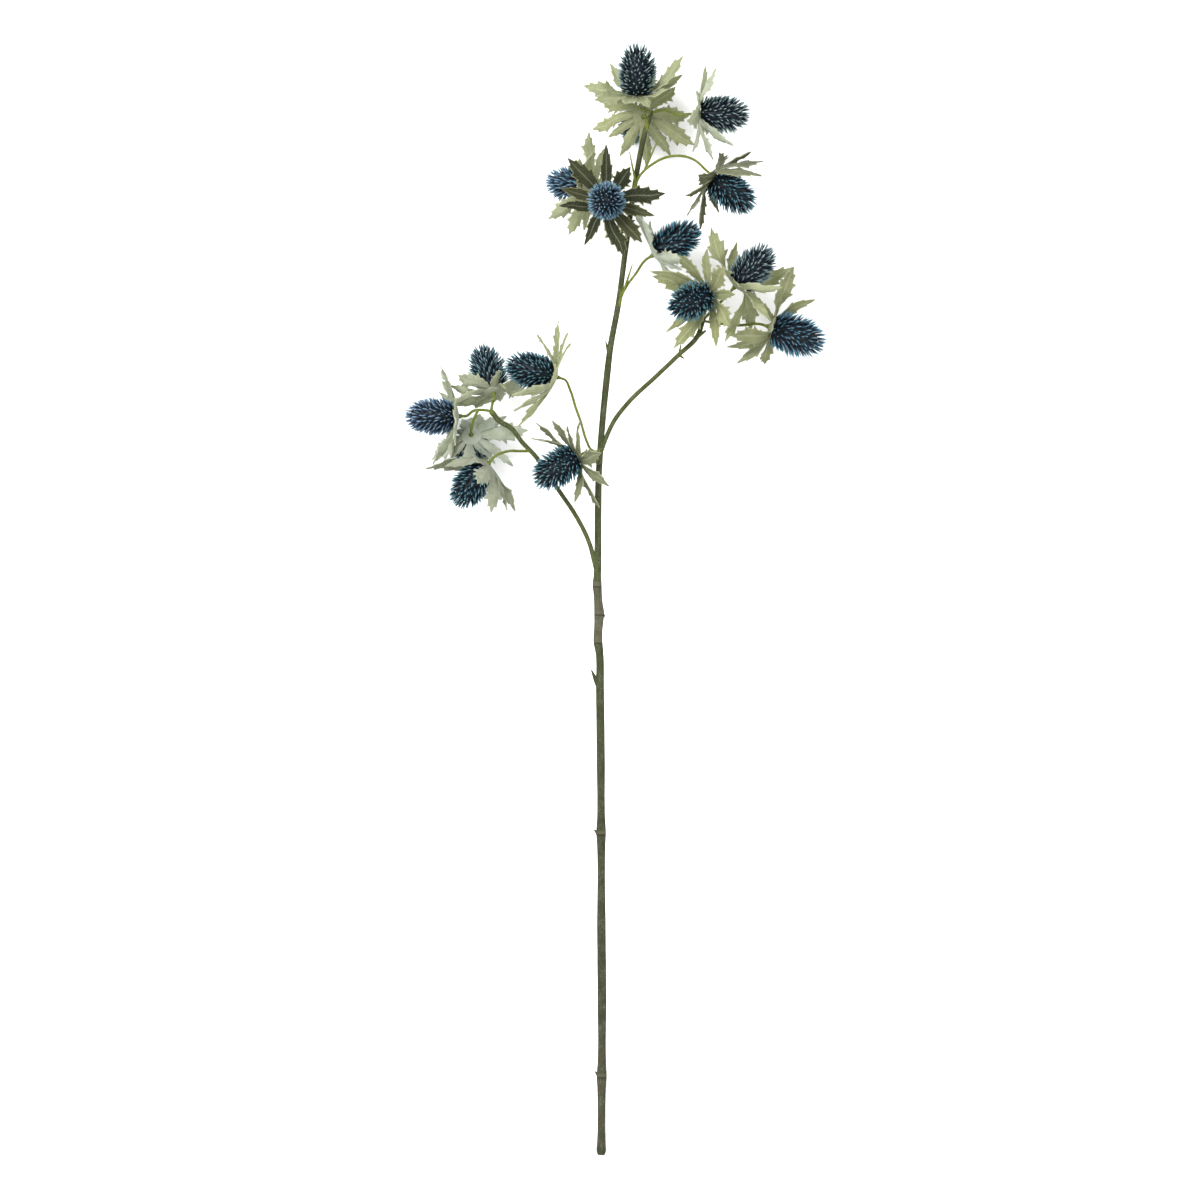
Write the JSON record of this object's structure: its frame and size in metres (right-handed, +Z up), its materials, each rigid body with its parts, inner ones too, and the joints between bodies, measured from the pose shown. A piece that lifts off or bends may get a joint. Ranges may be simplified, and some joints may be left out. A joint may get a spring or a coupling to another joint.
{
  "type": "sea holly stem",
  "caption": "Cut branched sea holly stem lying flat, with spiny blue cones in ruffs of toothed pale green bracts, for flower arrangements.",
  "frame": {"origin": "on the surface that the spray lies on, under the middle of its length and width", "axes": "+X across the spray, +Y along the stem towards the cones, +Z up from the surface"},
  "size_m": [0.3187, 0.8374, 0.1048],
  "materials": {
    "stem": "dull, slightly felted grey-green bark",
    "cone": "deep blue to teal, satin spines",
    "ruff": "matt felted pale sage green, light shows through"
  },
  "bodies": {
    "root": {"stem": "stem", "cone_01": "cone", "cone_02": "cone", "cone_03": "cone", "cone_04": "cone", "cone_05": "cone", "cone_06": "cone", "cone_07": "cone", "cone_08": "cone", "cone_09": "cone", "cone_10": "cone", "cone_11": "cone", "cone_12": "cone", "cone_13": "cone", "cone_14": "cone", "cone_15": "cone", "cone_16": "cone", "ruff_01": "ruff", "ruff_02": "ruff", "ruff_03": "ruff", "ruff_04": "ruff", "ruff_05": "ruff", "ruff_06": "ruff", "ruff_07": "ruff", "ruff_08": "ruff", "ruff_09": "ruff", "ruff_10": "ruff", "ruff_11": "ruff", "ruff_12": "ruff", "ruff_13": "ruff", "ruff_14": "ruff", "ruff_15": "ruff", "ruff_16": "ruff"}
  },
  "joints": []
}
